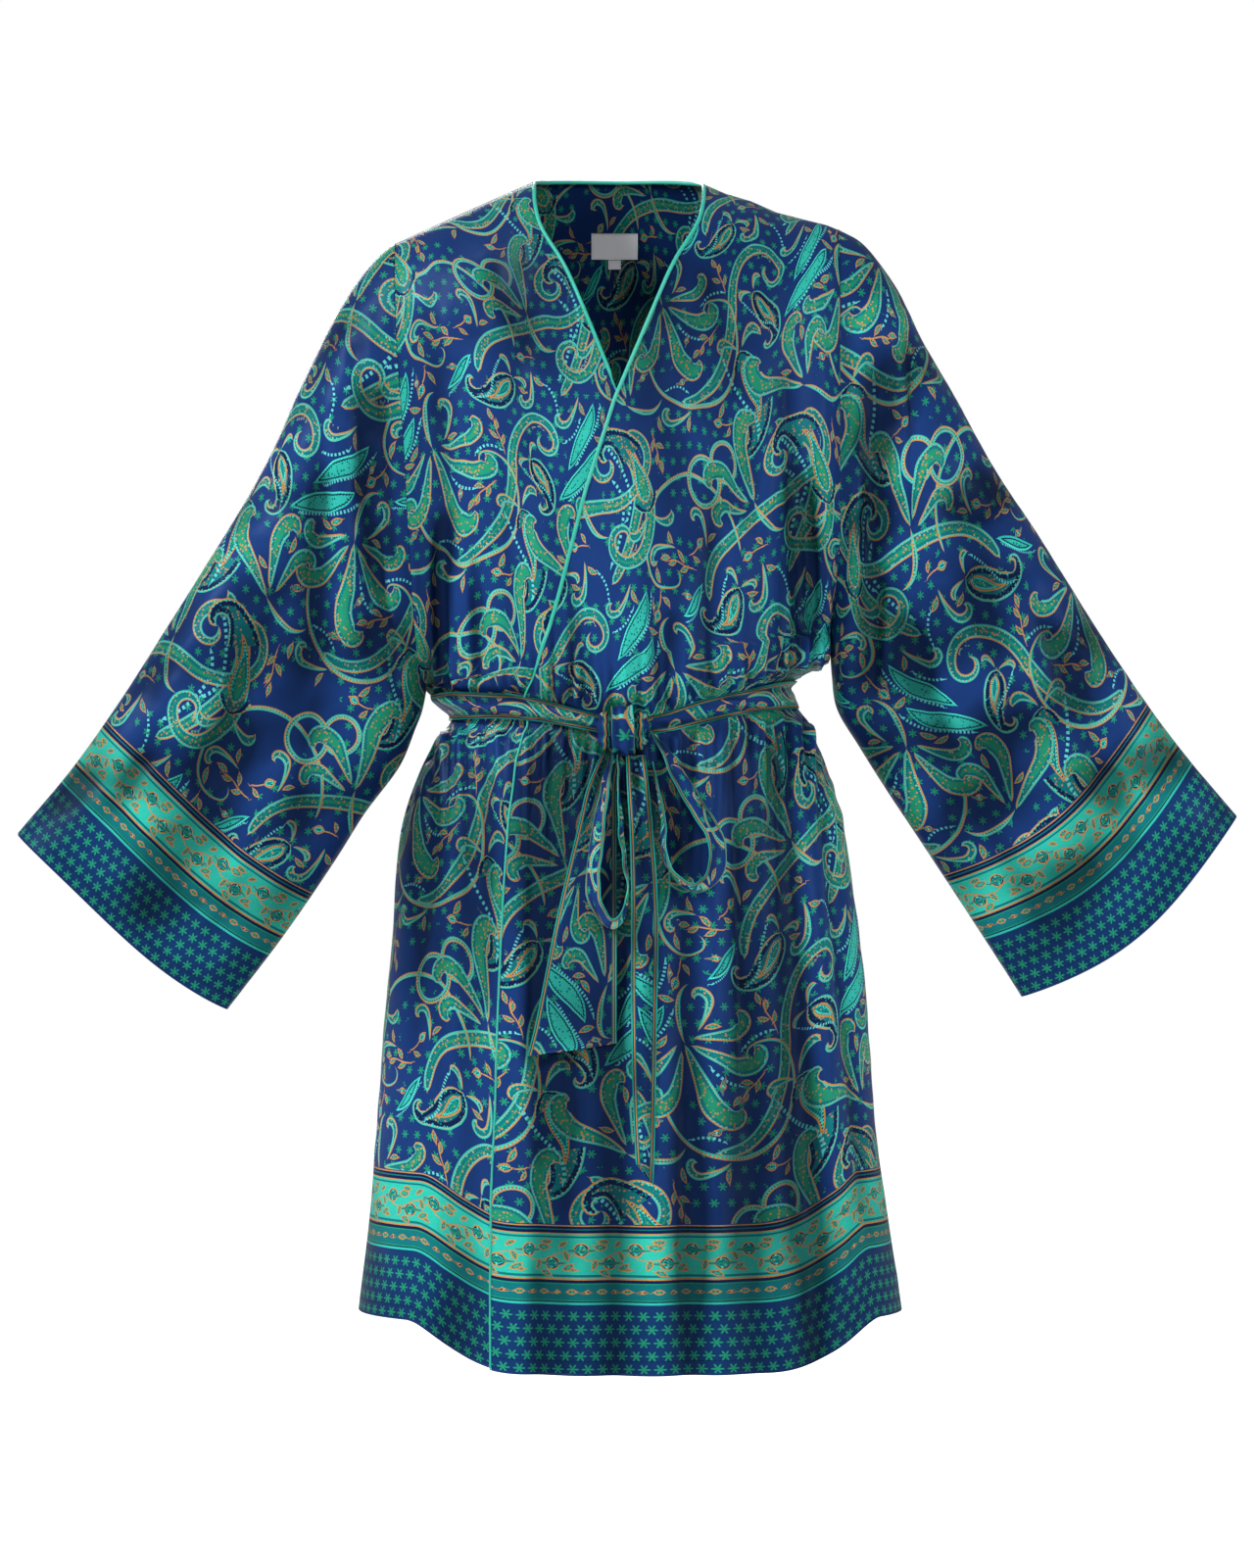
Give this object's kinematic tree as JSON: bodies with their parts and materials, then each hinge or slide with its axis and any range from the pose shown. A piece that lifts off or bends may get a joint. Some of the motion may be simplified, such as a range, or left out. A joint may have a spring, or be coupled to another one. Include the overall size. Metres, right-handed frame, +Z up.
{
  "type": "kimono robe",
  "caption": "Short printed satin kimono robe with wide sleeves, piped crossed neckline and a self sash tied in a bow, filled out hollow as it is worn.",
  "frame": {"origin": "on the centre line at the height of the shoulder seams' neck ends, where the wearer's neck and shoulders carry the robe", "axes": "+Z up, -Y is the front, +X is the wearer's left"},
  "size_m": [0.958, 0.267, 0.9297],
  "materials": {
    "satin_print": "smooth satin with a soft sheen, printed",
    "satin_piping": "plain satin binding",
    "woven_label": "fine woven tape, blank"
  },
  "bodies": {
    "root": {"back": "satin_print", "front_left": "satin_print", "front_right": "satin_print", "sleeve_left": "satin_print", "sleeve_right": "satin_print", "sash": "satin_print", "sash_knot": "satin_print", "bow_loop_left": "satin_print", "bow_loop_right": "satin_print", "sash_tail_wide": "satin_print", "sash_tail_narrow": "satin_print", "piping": "satin_piping", "neck_label": "woven_label", "size_tab": "woven_label"}
  },
  "joints": []
}
